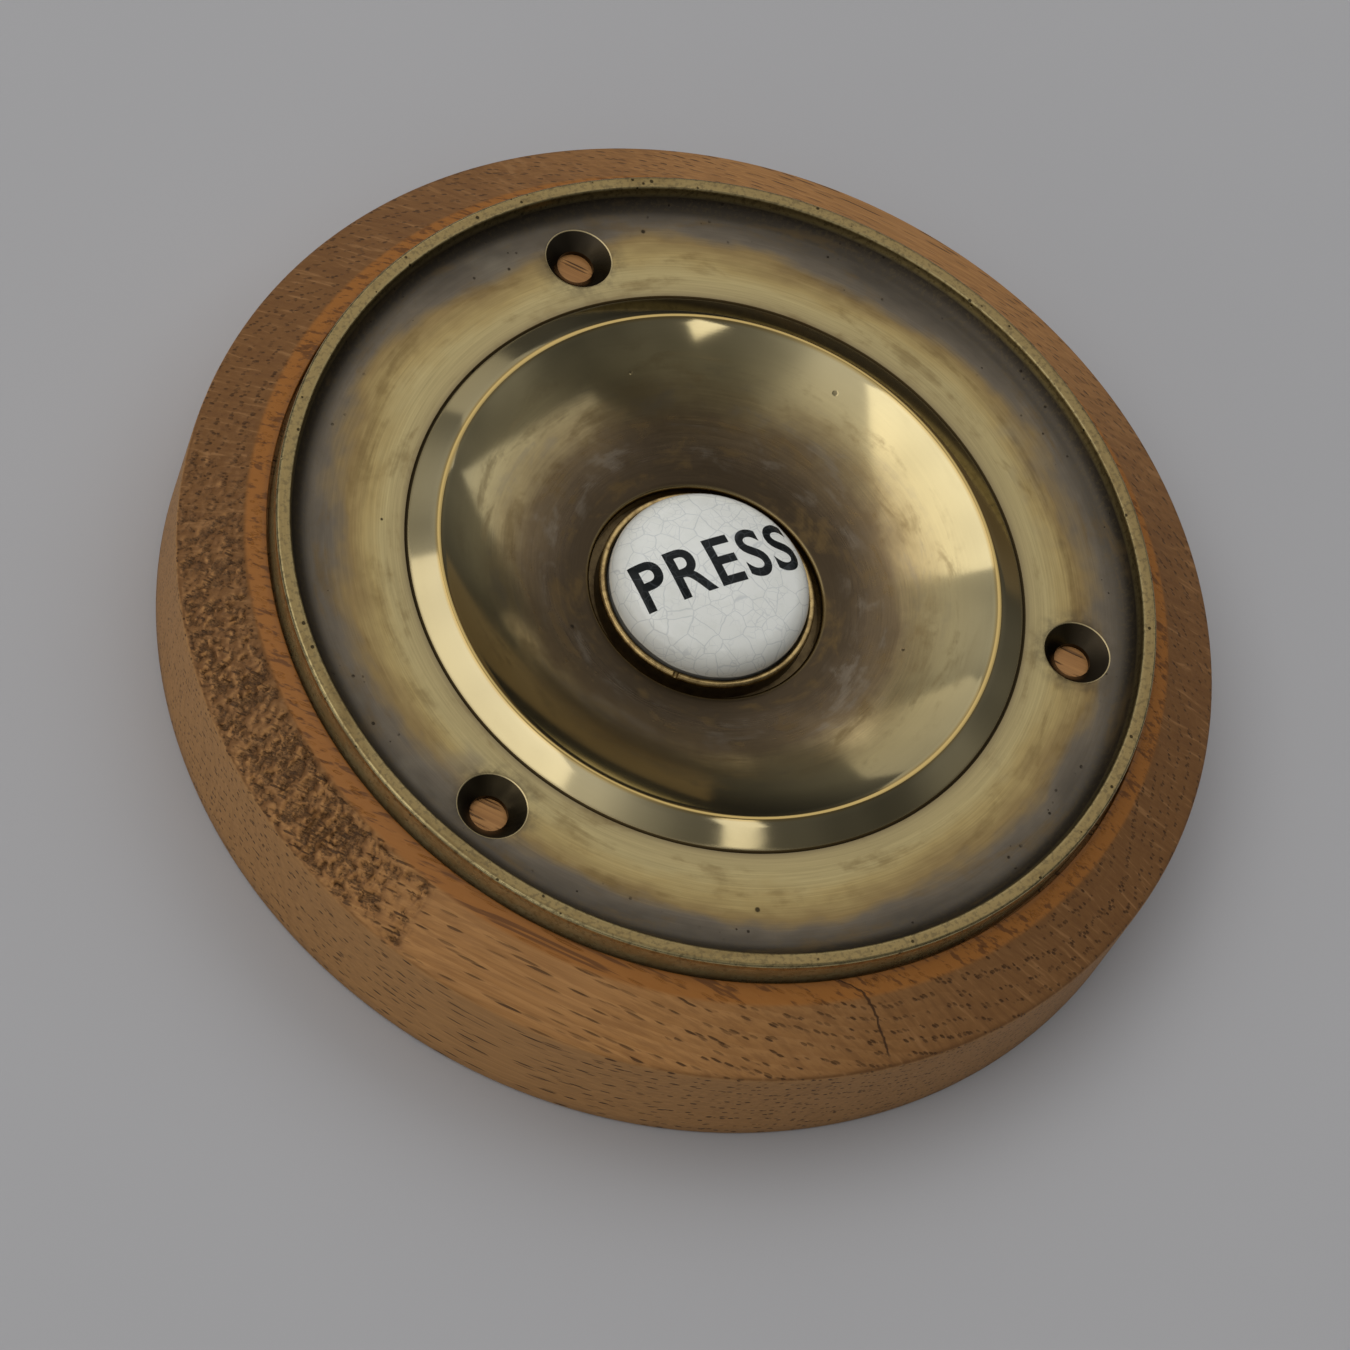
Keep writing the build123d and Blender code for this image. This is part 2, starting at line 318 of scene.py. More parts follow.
def makeSpecks():
    group, bench, entry, leave = newGroup(
        "specks", {"Place": (0, 0, 0), "Cell": 3.0, "Share": 0.3, "Size": 0.1}, ("Mask",))
    perCell = bench.calc("DIVIDE", 1.0, entry["Cell"])
    cell = bench.cells(bench.vector("SCALE", entry["Place"], scale=perCell))
    pick = bench.split(cell["Color"])
    chosen = bench.calc("LESS_THAN", pick[0], entry["Share"])
    edge = bench.times(entry["Size"], bench.spread(pick[1], 0.0, 1.0, 0.4, 1.2))
    inside = bench.spread(bench.calc("DIVIDE", cell["Distance"], edge), 0.6, 1.1, 1.0, 0.0)
    bench.put(leave["Mask"], bench.times(chosen, inside))
    return group


def makeScratches():
    group, bench, entry, leave = newGroup(
        "scratches", {"Place": (0, 0, 0), "Length": 9.0, "Width": 0.012}, ("Mask",))
    total = 0.0
    x, y, z = bench.split(entry["Place"])
    for turn in (0.4, 1.5, 2.6):  # three directions
        along = bench.plus(bench.times(x, math.cos(turn)), bench.times(y, math.sin(turn)))
        across = bench.minus(bench.times(y, math.cos(turn)), bench.times(x, math.sin(turn)))
        stretched = bench.join(bench.calc("DIVIDE", along, entry["Length"]), bench.times(across, 0.9),
                               bench.plus(z, turn * 7))
        away = bench.calc("ABSOLUTE", bench.minus(bench.noise(stretched, 1.0, 1.0), 0.5))
        line = bench.spread(away, 0.0, entry["Width"], 1.0, 0.0)
        gate = bench.noise(bench.vector("SCALE", entry["Place"], scale=0.12 + turn * 0.02))
        total = bench.calc("MAXIMUM", total, bench.times(line, bench.spread(gate, 0.52, 0.62)))
    bench.put(leave["Mask"], total)
    return group


latheRings = makeLatheRings()
specks = makeSpecks()
scratches = makeScratches()
print("shader groups ready")

# brass face plate
plateLow, plateHigh = (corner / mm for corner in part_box("face_plate"))
plate = {
    "radius": plateHigh.x, "rimTop": plateHigh.z,
    "rimWidth": 1.55, "rimRise": 2.5, "rimOuterRound": 0.35, "rimInnerRound": 0.25,
    "bandThickness": 2.3, "beadCrest": 30.3, "beadWidth": 3.0, "beadRise": 1.5, "crestSoftness": 0.27,
    "quirk": 0.35, "dishDepth": 6.8, "dishWall": 1.8,
    "holeRadius": 12.7, "lipSoftness": 0.4, "lipThickness": 1.8, "bossWidth": 2.5,
    "screwCircle": 39.5, "screwAngles": (90, 210, 330),
    "screwHole": 2.0, "screwSink": 3.6, "edgeBreak": 0.14,
    "pillarPlace": 18.5, "pillarAngles": (90, 270), "pillarFoot": plateLow.z, "pillarRadius": 2.2,
    "pillarBore": 1.5, "boreDepth": 4.1,
    "steps": 288, "span": 1.0, "rimSpan": 0.3,
    "zones": (  # radius, colour, then roughness, metal and brushing
        (11.6, (0.04, 0.03, 0.02), (0.40, 0.9, 0.2)),
        # the hole's lip, brighter than the dish round it: painted highlight
        (12.55, (0.20, 0.145, 0.065), (0.28, 1.0, 0.2)),
        (12.85, (0.26, 0.195, 0.088), (0.24, 1.0, 0.2)),
        (13.15, (0.055, 0.038, 0.021), (0.32, 0.95, 0.4)),
        (14.8, (0.056, 0.039, 0.022), (0.30, 0.95, 0.8)),
        (17.0, (0.088, 0.062, 0.036), (0.26, 0.95, 1.0)),
        (20.0, (0.145, 0.103, 0.056), (0.21, 1.0, 0.9)),
        (23.0, (0.305, 0.233, 0.115), (0.13, 1.0, 0.55)),
        (26.0, (0.47, 0.385, 0.20), (0.09, 1.0, 0.2)),
        (29.8, (0.50, 0.425, 0.24), (0.07, 1.0, 0.08)),
        (30.1, (0.40, 0.285, 0.105), (0.08, 1.0, 0.05)),
        (30.5, (0.40, 0.285, 0.105), (0.08, 1.0, 0.05)),
        (30.75, (0.44, 0.375, 0.22), (0.08, 1.0, 0.05)),
        (33.1, (0.43, 0.36, 0.20), (0.085, 1.0, 0.05)),
        (33.32, (0.26, 0.205, 0.105), (0.35, 0.95, 0.0)),
        (33.48, (0.10, 0.075, 0.042), (0.50, 0.8, 0.0)),
        (33.64, (0.20, 0.155, 0.08), (0.38, 0.95, 0.0)),
        (34.2, (0.27, 0.215, 0.105), (0.32, 1.0, 0.9)),
        (36.2, (0.31, 0.248, 0.117), (0.30, 1.0, 1.0)),
        (38.4, (0.275, 0.204, 0.085), (0.31, 1.0, 1.0)),
        (40.3, (0.195, 0.134, 0.056), (0.34, 0.95, 0.8)),
        # darker into the cove beside the rim: patina, with painted shade
        (41.9, (0.113, 0.092, 0.066), (0.37, 0.9, 0.6)),
        (44.0, (0.068, 0.056, 0.041), (0.40, 0.85, 0.4)),
        (45.6, (0.042, 0.033, 0.023), (0.44, 0.85, 0.3)),
        # the rim's inner edge, brighter: rubbed brass with a painted highlight
        (45.92, (0.42, 0.345, 0.17), (0.27, 1.0, 0.2)),
        (46.2, (0.215, 0.157, 0.067), (0.31, 1.0, 0.5)),
        (47.15, (0.225, 0.162, 0.067), (0.31, 1.0, 0.5)),
        # the rim's outer edge, brighter: rubbed brass with a painted highlight
        (47.42, (0.52, 0.425, 0.21), (0.24, 1.0, 0.3)),
    ),
}


def plateHeights():
    p = plate
    bandTop = p["rimTop"] - p["rimRise"]
    crestTop = bandTop + p["beadRise"]
    lipTop = crestTop - p["dishDepth"]
    seat = bandTop - p["bandThickness"]
    reach = p["beadCrest"] ** 2 + crestTop ** 2 - p["holeRadius"] ** 2 - lipTop ** 2
    dishCentre = reach / (2 * p["dishDepth"])
    dishRadius = math.hypot(p["holeRadius"], dishCentre - lipTop)
    return bandTop, crestTop, lipTop, seat, dishCentre, dishRadius


def sphereSection(centre, radius, inner, outer, steps):
    start, end = (math.asin(r / radius) - math.pi / 2 for r in (inner, outer))
    return arcPoints((0, centre), radius, start, end, steps)


def makePlate():
    p = plate
    bandTop, crestTop, lipTop, seat, dishCentre, dishRadius = plateHeights()
    rimInner = p["radius"] - p["rimWidth"]
    foot = p["beadCrest"] + p["beadWidth"]
    bossRadius = p["holeRadius"] + p["bossWidth"]
    bossBottom = lipTop - p["lipThickness"]
    underRadius = dishRadius + p["dishWall"]
    underEdge = math.sqrt(underRadius ** 2 - (dishCentre - seat) ** 2)
    section = [(bossRadius, bossBottom), (p["holeRadius"], bossBottom)]
    section += sphereSection(dishCentre, dishRadius, p["holeRadius"], p["beadCrest"], 22)
    quirk = p["quirk"]
    section += [(foot, bandTop), (foot + quirk / 2, bandTop - quirk), (foot + quirk, bandTop)]
    section += arcPoints((rimInner - p["rimRise"], p["rimTop"]), p["rimRise"], -math.pi / 2, 0, 16)
    section += [(p["radius"], p["rimTop"]), (p["radius"], seat)]
    section += sphereSection(dishCentre, underRadius, underEdge, bossRadius, 12)
    bm = bmesh.new()
    drawSection(bm, section)
    roundCorner(bm, (p["beadCrest"], crestTop), p["crestSoftness"], 7)
    roundCorner(bm, (p["holeRadius"], lipTop), p["lipSoftness"], 5)
    roundCorner(bm, (p["radius"], p["rimTop"]), p["rimOuterRound"], 4)
    roundCorner(bm, (rimInner, p["rimTop"]), p["rimInnerRound"], 4)
    splitLong(bm, lambda r, z: p["rimSpan"] if r > rimInner and z > bandTop else p["span"])
    turnSection(bm, p["steps"])
    piece = finishPiece(bm, "brass_plate")

    postFoot = p["pillarFoot"]
    top = dishCentre - math.sqrt((dishRadius + p["dishWall"] / 2) ** 2 - p["pillarPlace"] ** 2)
    post = postSection(p["pillarRadius"], postFoot, top)
    bore = postSection(p["pillarBore"], postFoot - overrun, postFoot + p["boreDepth"])
    spots = [polar(p["pillarPlace"], angle) for angle in p["pillarAngles"]]
    cutPiece(piece, [turnedCutter("pillar", post, spot, 48) for spot in spots], "UNION")
    wide = p["screwSink"] + p["edgeBreak"]
    coneTop = bandTop - p["edgeBreak"] / 2
    coneFoot = coneTop - (p["screwSink"] - p["screwHole"])
    low, high = seat - overrun, bandTop + overrun
    sink = [(0, low), (p["screwHole"], low), (p["screwHole"], coneFoot), (p["screwSink"], coneTop),
            (wide, bandTop), (wide, high), (0, high)]
    cutters = [turnedCutter("pillarBore", bore, spot, 32) for spot in spots]
    for angle in p["screwAngles"]:
        cutters.append(turnedCutter("screwSink", sink, polar(p["screwCircle"], angle), 72))
    cutPiece(piece, cutters)
    return piece


def makeAgedBrass():
    p = plate
    bandTop = plateHeights()[0]
    material, bench, shader, spot = newMaterial("agedBrass")
    rings = bench.use(latheRings, Place=spot, Fine=5.0, Drift=3.0)
    radius = rings["Radius"]
    z = bench.split(spot)[2]
    grime = bench.noise(spot, 0.45, 5.0, 0.65)
    wander = bench.minus(bench.use(latheRings, Place=spot, Fine=0.13, Drift=2.1)["Rings"], 0.5)
    inBand = bench.times(bench.spread(radius, 34.5, 37.0), bench.spread(radius, 44.8, 43.0))
    inDish = bench.times(bench.spread(radius, 14.0, 17.0), bench.spread(radius, 27.5, 23.0))
    loose = bench.plus(bench.times(inBand, 8.0), bench.times(inDish, 6.0))
    moved = bench.plus(radius, bench.times(wander, loose))
    zones = p["zones"]
    first, last = zones[0][0], zones[-1][0]
    share = bench.calc("DIVIDE", bench.minus(moved, first), last - first)
    colour = bench.ramp(share, [((r - first) / (last - first), c) for r, c, w in zones])
    ways = bench.split(bench.ramp(share, [((r - first) / (last - first), w) for r, c, w in zones]))
    polished = bench.times(bench.spread(radius, 26.0, 29.0), bench.spread(radius, 33.4, 33.2))
    dull = bench.minus(1.0, bench.times(polished, 0.9))
    # brown smudges that follow the turning, and circular brushing
    stain = bench.plus(rings["Swirl"], bench.times(bench.minus(grime, 0.5), 0.35))
    smudge = bench.times(bench.spread(stain, 0.50, 0.72), dull)
    colour = bench.tint(colour, smudge, 0.45, (0.15, 0.095, 0.035))
    pewter = bench.use(latheRings, Place=spot, Fine=0.05, Drift=1.5)["Rings"]
    pewter = bench.times(bench.spread(pewter, 0.55, 0.68), inBand)
    colour = bench.tint(colour, pewter, 0.6, (0.15, 0.128, 0.092))
    bloom = bench.times(bench.spread(stain, 0.47, 0.30), inDish, dull)
    colour = bench.tint(colour, bloom, 0.35, (0.20, 0.17, 0.13))
    brushed = bench.times(bench.minus(rings["Rings"], 0.5), ways[2])
    tone = bench.plus(1.0, bench.times(brushed, 0.75))
    colour = bench.mix(1.0, colour, bench.join(tone, tone, tone), "MULTIPLY")
    # mottled rim and tarnish, pits in the band, specks in both
    mottled = bench.spread(bench.noise(spot, 1.9, 3.0, 0.7), 0.47, 0.64)
    mottled = bench.times(mottled, bench.spread(radius, 41.5, 46.0, 0.0, 0.55))
    colour = bench.mix(mottled, colour, (0.085, 0.064, 0.034))
    pits = bench.use(specks, Place=spot, Cell=4.2, Share=0.16, Size=0.065)["Mask"]
    dots = bench.use(specks, Place=spot, Cell=0.95, Share=0.32, Size=0.2)["Mask"]
    onRim = bench.spread(radius, 45.6, 46.0)
    tarnished = bench.times(bench.spread(moved, 40.0, 42.5), bench.spread(grime, 0.42, 0.6))
    dark = bench.times(dots, bench.calc("MAXIMUM", onRim, tarnished))
    dark = bench.times(bench.calc("MAXIMUM", pits, dark), dull)
    colour = bench.tint(colour, dark, 0.85, (0.018, 0.013, 0.008))
    # countersinks: grime round them, painted shade inside, painted highlight on the broken edge
    near = 100.0  # further than any point of the plate
    for angle in p["screwAngles"]:
        away = bench.vector("DISTANCE", spot, polar(p["screwCircle"], angle, bandTop))
        near = bench.calc("MINIMUM", near, away)
    halo = bench.spread(near, p["screwSink"] + 2.4, p["screwSink"])
    halo = bench.times(halo, bench.spread(grime, 0.35, 0.65))
    colour = bench.tint(colour, halo, 0.6, (0.07, 0.055, 0.036))
    inSink = bench.spread(near, p["screwSink"] + 0.4, p["screwSink"] + 0.3)
    sinkShade = bench.times(bench.spread(z, bandTop - 0.05, bandTop - 0.09), inSink)
    sinkHighlight = bench.times(bench.spread(z, bandTop - 0.005, bandTop - 0.02), inSink)
    sinkHighlight = bench.times(sinkHighlight, bench.minus(1.0, sinkShade))
    # painted shade inside each countersink, painted highlight along its broken edge
    colour = bench.tint(colour, sinkShade, 0.93, (0.032, 0.024, 0.014))
    colour = bench.tint(colour, sinkHighlight, 0.8, (0.56, 0.45, 0.24))
    # brown outer wall
    wall = bench.spread(z, p["rimTop"] - 0.3, p["rimTop"] - 1.2)
    wall = bench.times(bench.spread(radius, 47.3, 47.45), wall)
    stained = bench.spread(grime, 0.3, 0.7, 0.2, 0.8)
    colour = bench.tint(colour, wall, stained, (0.40, 0.265, 0.10))
    rough = bench.plus(ways[0], bench.times(brushed, 0.10))
    rough = bench.plus(rough, bench.times(bench.plus(smudge, dark), 0.10))
    rough = bench.calc("ADD", rough, bench.times(sinkShade, -0.06), clamp=True)
    height = bench.minus(bench.times(brushed, 0.10), dark)
    wavy = bench.times(bench.noise(spot, 0.16, 2.0), 0.25)  # hand-polished unevenness
    bench.put(shader["Base Color"], colour)
    bench.put(shader["Roughness"], rough)
    bench.put(shader["Metallic"], bench.minus(ways[1], bench.times(wall, 0.45)))
    bench.put(shader["Normal"], bench.bump(bench.plus(height, wavy), 0.05 * mm, 0.7))
    return material


brassPlate = makePlate()
dressPiece(brassPlate, makeAgedBrass(), "face_plate")
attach(brassPlate, "push_body")

# oak back block
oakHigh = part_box("oak_pattress")[1] / mm
oak = {
    "radius": oakHigh.x, "landTop": oakHigh.z,
    "bore": 29.5, "recess": 47.9, "recessDepth": 2.0, "landWidth": 2.1, "landDrop": 0.9, "bevelDrop": 3.9,
    "backEase": 0.4, "landRound": 0.3, "shoulderRound": 0.12, "edgeRound": 0.4,
    "wallScrewCircle": 38.0, "wallScrewAngles": (-90, 30, 150), "wallScrewHole": 2.25, "wallScrewSink": 4.5,
    "steps": 1080, "fineSpan": 0.29, "wallSpan": 1.5, "hiddenSpan": 6.0,
    "grainAngle": -44.0, "pith": (-14.5, 102.0), "ringWidth": 0.94, "poreLength": 3.8, "poreWidth": 0.31,
    "tearFrom": -238.0, "tearGrow": 58, "tearTo": -146.0, "tearFade": 9, "tearDepth": 0.4,
    "tearLumps": ((0.4, 0.62, 0.18), (0.6, 1.5, 0.8), (0.65, 2.6, 2.1)),  # share, rate across and along
    "crack": ((47.9, -98.4), (49.5, -95.3), (52.0, -94.1), (55.6, -93.3)), "crackWidth": 0.13,
    "earlyWood": (0.48, 0.24, 0.08), "lateWood": (0.40, 0.19, 0.058), "fibreWood": (0.265, 0.12, 0.038),
    "endGrainAndShade": (0.158, 0.07, 0.0225), "wallPaintedLight": (0.58, 0.33, 0.135), "stripWood": (0.36, 0.134, 0.022),
    "poreWood": (0.07, 0.031, 0.01), "tornPitShade": (0.068, 0.033, 0.012),
}


def oakHeights():
    shoulder = oak["landTop"] - oak["landDrop"]
    return shoulder, shoulder - oak["bevelDrop"], oak["landTop"] - oak["recessDepth"]


def tearOut(point):
    inner = oak["recess"] + oak["landWidth"]
    radius = math.hypot(point.x, point.y)
    angle = math.degrees(math.atan2(point.y, point.x))
    if angle > 0:
        angle -= 360
    down = (radius - inner) / (oak["radius"] - inner)
    around = math.radians(angle) * oak["radius"]
    ragged = 7 * noise.noise(point * 0.35) + 4 * noise.noise(point * 0.9)  # in degrees
    sector = smoothStep(oak["tearFrom"], oak["tearFrom"] + oak["tearGrow"], angle + ragged)
    sector *= 1 - smoothStep(oak["tearTo"] - oak["tearFade"], oak["tearTo"], angle + ragged)
    rows = smoothStep(-0.02, 0.10, down) * (1 - smoothStep(0.93, 1.02, down))
    slope = 7.6  # length of the bevel
    lumps = 0.0
    for share, across, along in oak["tearLumps"]:  # pits run down the bevel
        lumps += share * noise.noise(Vector((around * across, down * slope * along, share * 20)))
    return max(0.0, min(1.0, 0.42 + lumps * 1.5)) * sector * rows


def makeOak():
    o = oak
    shoulder, wallTop, seat = oakHeights()
    shoulderRadius = o["recess"] + o["landWidth"]
    back = 0.1  # what lies lower is the back

    def spanAt(r, z):
        if r <= o["recess"] or z < back:
            return o["hiddenSpan"]
        return o["wallSpan"] if z < wallTop else o["fineSpan"]

    bm = bmesh.new()
    drawSection(bm, [
        (o["bore"], 0), (o["radius"] - o["backEase"], 0), (o["radius"], o["backEase"]),
        (o["radius"], wallTop), (shoulderRadius, shoulder), (o["recess"], o["landTop"]),
        (o["recess"], seat), (o["bore"], seat)])
    roundCorner(bm, (o["radius"], wallTop), o["edgeRound"], 4)
    roundCorner(bm, (shoulderRadius, shoulder), o["shoulderRound"], 3)
    roundCorner(bm, (o["recess"], o["landTop"]), o["landRound"], 4)
    splitLong(bm, spanAt)
    turnSection(bm, o["steps"])
    piece = finishPiece(bm, "oak_block")
    cone = seat - (o["wallScrewSink"] - o["wallScrewHole"])
    hole = [(0, -overrun), (o["wallScrewHole"], -overrun), (o["wallScrewHole"], cone),
            (o["wallScrewSink"], seat), (o["wallScrewSink"], seat + overrun), (0, seat + overrun)]
    cutPiece(piece, [turnedCutter("wallScrewHole", hole, polar(o["wallScrewCircle"], angle), 48)
                     for angle in o["wallScrewAngles"]])
    tearLowest, tearInner = wallTop - 0.5, o["recess"] + 1
    bm = bmesh.new()
    bm.from_mesh(piece.data)
    bm.normal_update()
    torn = bm.verts.layers.float.new("torn")
    for vert in bm.verts:
        point = vert.co / mm
        if point.z > tearLowest and math.hypot(point.x, point.y) > tearInner:
            depth = tearOut(point)
            vert[torn] = depth
            vert.co -= vert.normal * depth * o["tearDepth"] * mm
    bm.to_mesh(piece.data)
    bm.free()
    shadePiece(piece, 50)
    return piece


def makeOakWood():
    o = oak
    wallTop, seat = oakHeights()[1:]
    shoulderRadius = o["recess"] + o["landWidth"]
    material, bench, shader, spot = newMaterial("turnedOak", Specular_IOR_Level=0.22)
    turned = bench.add("ShaderNodeMapping", vector_type="POINT")
    turned.inputs["Rotation"].default_value = (0, 0, -math.radians(o["grainAngle"]))
    bench.put(turned.inputs["Vector"], spot)
    here = bench.split(turned.outputs[0])
    along, up = here[0], here[2]

    def stretched(lengthwise, crosswise, at=here):
        shares = (lengthwise, crosswise, crosswise)
        return bench.join(*(bench.times(part, share) for part, share in zip(at, shares)))

    def growth(at):  # rings round a pith above the block
        sway = bench.split(bench.noise(stretched(0.012, 0.05, at), 1.0, 3.0, 0.5, colour=True))
        v = bench.plus(bench.minus(at[1], o["pith"][0]), bench.times(sway[0], 7.0))
        w = bench.plus(bench.minus(at[2], o["pith"][1]), bench.times(sway[1], 7.0))
        depth = bench.vector("LENGTH", bench.join(v, w, 0.0))
        rate = bench.noise(bench.join(bench.times(depth, 0.35), 0.0, 0.0), 1.0, 1.0)
        years = bench.plus(bench.calc("DIVIDE", depth, o["ringWidth"]), bench.times(rate, 1.6))
        return depth, bench.calc("ARCTAN2", w, v), bench.calc("FRACT", years)

    depth, angle, year = growth(here)
    torn = bench.add("ShaderNodeAttribute", attribute_name="torn").outputs["Fac"]
    # pores: long thin cells along the grain, crowded in the early wood and in the torn grain
    pore = bench.cells(stretched(1 / o["poreLength"], 1 / o["poreWidth"]))
    size = (o["poreLength"], o["poreWidth"], o["poreWidth"])
    poreYear = growth(bench.split(bench.vector("MULTIPLY", pore["Position"], size)))[2]
    early = bench.times(bench.spread(poreYear, 0.0, 0.05), bench.spread(poreYear, 0.38, 0.27))
    pick = bench.split(pore["Color"])
    chance = bench.plus(bench.times(early, 0.92), 0.012)
    chance = bench.plus(chance, bench.times(torn, 0.4))
    opened = bench.calc("LESS_THAN", pick[0], chance)
    pores = bench.times(bench.spread(pore["Distance"], 0.52, 0.28), opened)
    pores = bench.times(pores, bench.spread(pick[1], 0.0, 1.0, 0.45, 1.0))
    # fibres, rays and broad tone
    fibre = bench.noise(stretched(0.06, 3.2), 1.0, 4.0, 0.6)
    streak = bench.noise(stretched(0.03, 1.5), 1.0, 3.0, 0.6)
    fan = bench.join(bench.times(angle, 190.0), bench.times(depth, 0.22), bench.times(along, 0.2))
    ray = bench.noise(fan, 1.0, 2.0, 0.6)
    patch = bench.noise(spot, 0.05, 3.0, 0.5)
    grain = math.radians(o["grainAngle"])
    facing = bench.add("ShaderNodeTexCoord").outputs["Normal"]
    endGrain = bench.vector("DOT_PRODUCT", facing, (math.cos(grain), math.sin(grain), 0))
    endGrain = bench.spread(bench.calc("ABSOLUTE", endGrain), 0.08, 0.5)
    colour = bench.mix(bench.spread(year, 0.1, 0.95), o["earlyWood"], o["lateWood"])
    colour = bench.tint(colour, bench.spread(fibre, 0.38, 0.66), 0.6, o["fibreWood"])
    colour = bench.mix(bench.spread(patch, 0.35, 0.7, 0.0, 0.4), colour, (0.47, 0.24, 0.088))
    onBevel = bench.spread(up, wallTop - 0.3, wallTop, 0.25, 1.0)
    # end grain darker: the oak's own tone, deepened as painted shade for the side away from the window
    # softbox
    colour = bench.tint(colour, bench.times(endGrain, onBevel), 0.82, o["endGrainAndShade"])
    # painted light: the wall below the bevel made a lighter tan
    colour = bench.tint(colour, bench.minus(1.0, onBevel), 0.5, o["wallPaintedLight"])
    rayed = bench.times(bench.plus(bench.times(endGrain, 0.5), 0.08), onBevel)
    colour = bench.tint(colour, bench.spread(ray, 0.50, 0.36), rayed, (0.17, 0.075, 0.025))
    colour = bench.tint(colour, bench.spread(ray, 0.55, 0.72), rayed, (0.38, 0.195, 0.075))
    colour = bench.tint(colour, pores, 0.9, o["poreWood"])
    # smooth orange strip beside the plate with dark streaks
    x, y, z = bench.split(spot)
    radius = bench.vector("LENGTH", bench.join(x, y, 0.0))
    strip = bench.spread(radius, shoulderRadius + 0.3, shoulderRadius - 0.3)
    strip = bench.times(strip, bench.spread(z, seat, seat + 1.0))
    colour = bench.tint(colour, strip, 0.82, o["stripWood"])
    lines = bench.times(bench.spread(streak, 0.52, 0.62), strip)
    colour = bench.tint(colour, lines, 0.72, (0.10, 0.038, 0.012))
    # painted shade on the oak right beside the plate's edge
    joint = bench.times(bench.spread(radius, o["recess"] + 0.8, o["recess"] + 0.1), strip)
    colour = bench.tint(colour, joint, 0.3, (0.10, 0.042, 0.014))
    # hairline crack from the plate down the bevel
    turnAngle = bench.times(bench.calc("ARCTAN2", y, x), 180 / math.pi)
    path = bench.times(bench.noise(spot, 0.9, 2.0), 0.8)
    path = bench.plus(path, o["crack"][0][1] - 0.4)
    for (r0, a0), (r1, a1) in zip(o["crack"], o["crack"][1:]):
        leg = bench.calc("DIVIDE", bench.minus(radius, r0), r1 - r0, clamp=True)
        path = bench.plus(path, bench.times(leg, a1 - a0))
    aside = bench.calc("ABSOLUTE", bench.minus(turnAngle, path))
    aside = bench.times(aside, math.radians(o["radius"]))
    crack = bench.spread(aside, o["crackWidth"] * 1.6, o["crackWidth"] * 0.4)
    crack = bench.times(crack, bench.spread(radius, o["crack"][-1][0] + 0.4, o["crack"][-1][0] - 0.6))
    crack = bench.times(crack, bench.spread(z, wallTop - 0.4, wallTop))
    crack = bench.times(crack, bench.spread(radius, o["recess"] - 0.2, o["recess"]))
    colour = bench.tint(colour, crack, 0.88, (0.05, 0.022, 0.009))
    # torn end grain, with painted shade in its pits
    rag = bench.noise(stretched(1.8, 2.6), 1.0, 3.0, 0.7)
    pitShade = bench.spread(bench.plus(torn, bench.times(rag, 1.3)), 0.86, 1.28)
    pitShade = bench.times(pitShade, bench.spread(torn, 0.04, 0.3))
    shred = bench.noise(stretched(3.0, 6.0), 1.0, 2.0, 0.6)
    pitShade = bench.times(pitShade, bench.spread(shred, 0.35, 0.62, 1.0, 0.45))
    colour = bench.tint(colour, pitShade, 0.9, o["tornPitShade"])
    bench.put(shader["Base Color"], colour)
    bench.put(shader["Roughness"], bench.spread(bench.plus(pores, strip), 0.0, 1.5, 0.6, 0.46))
    height = bench.minus(bench.times(fibre, 0.25), bench.calc("MAXIMUM", pores, crack))
    height = bench.plus(height, bench.times(ray, endGrain, 0.5))
    rags = bench.plus(rag, bench.minus(1.0, shred))
    height = bench.minus(height, bench.times(torn, rags, 1.3))
    bench.put(shader["Normal"], bench.bump(height, 0.14 * mm, 0.8))
    return material


oakBlock = makeOak()
dressPiece(oakBlock, makeOakWood(), "oak_pattress")
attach(oakBlock, "push_body")

# button: brass cup, porcelain disc and its word
cupLow, cupHigh = (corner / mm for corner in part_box("button_cup"))
insertLow, insertHigh = (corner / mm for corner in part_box("porcelain_insert"))
cup = {
    "radius": cupHigh.x, "bottom": cupLow.z, "top": cupHigh.z, "wall": 0.85, "floorTop": insertLow.z,
    "spigotHole": 1.55, "lipRound": 0.38, "nickRadius": 0.3, "nickAngle": -131, "steps": 224, "span": 0.8,
    "bright": (0.43, 0.305, 0.13), "tarnish": (0.20, 0.132, 0.055),
}
insert = {
    "radius": insertHigh.x, "bottom": insertLow.z, "top": insertHigh.z,
    "domeRadius": 30.0, "edgeRound": 3.0, "steps": 224, "span": 0.6,
    "glaze": (0.86, 0.87, 0.82), "stain": (0.77, 0.78, 0.72), "crackled": (0.30, 0.34, 0.38),
    "jointEdge": 0.84, "jointFull": 0.64,  # dark joint, from this far above the bezel
}
word = {
    "text": "PRESS", "width": 18.9, "height": 5.9, "shift": (0.2, 0.6), "turn": 3.0, "boldness": 0.018,
    "spacing": 1.12, "curveSteps": 8, "weld": 1e-5, "proud": 0.02, "sunk": 0.06, "grid": 0.25,
    "ink": (0.006, 0.0078, 0.0082), "wornInk": (0.015, 0.018, 0.019),
}


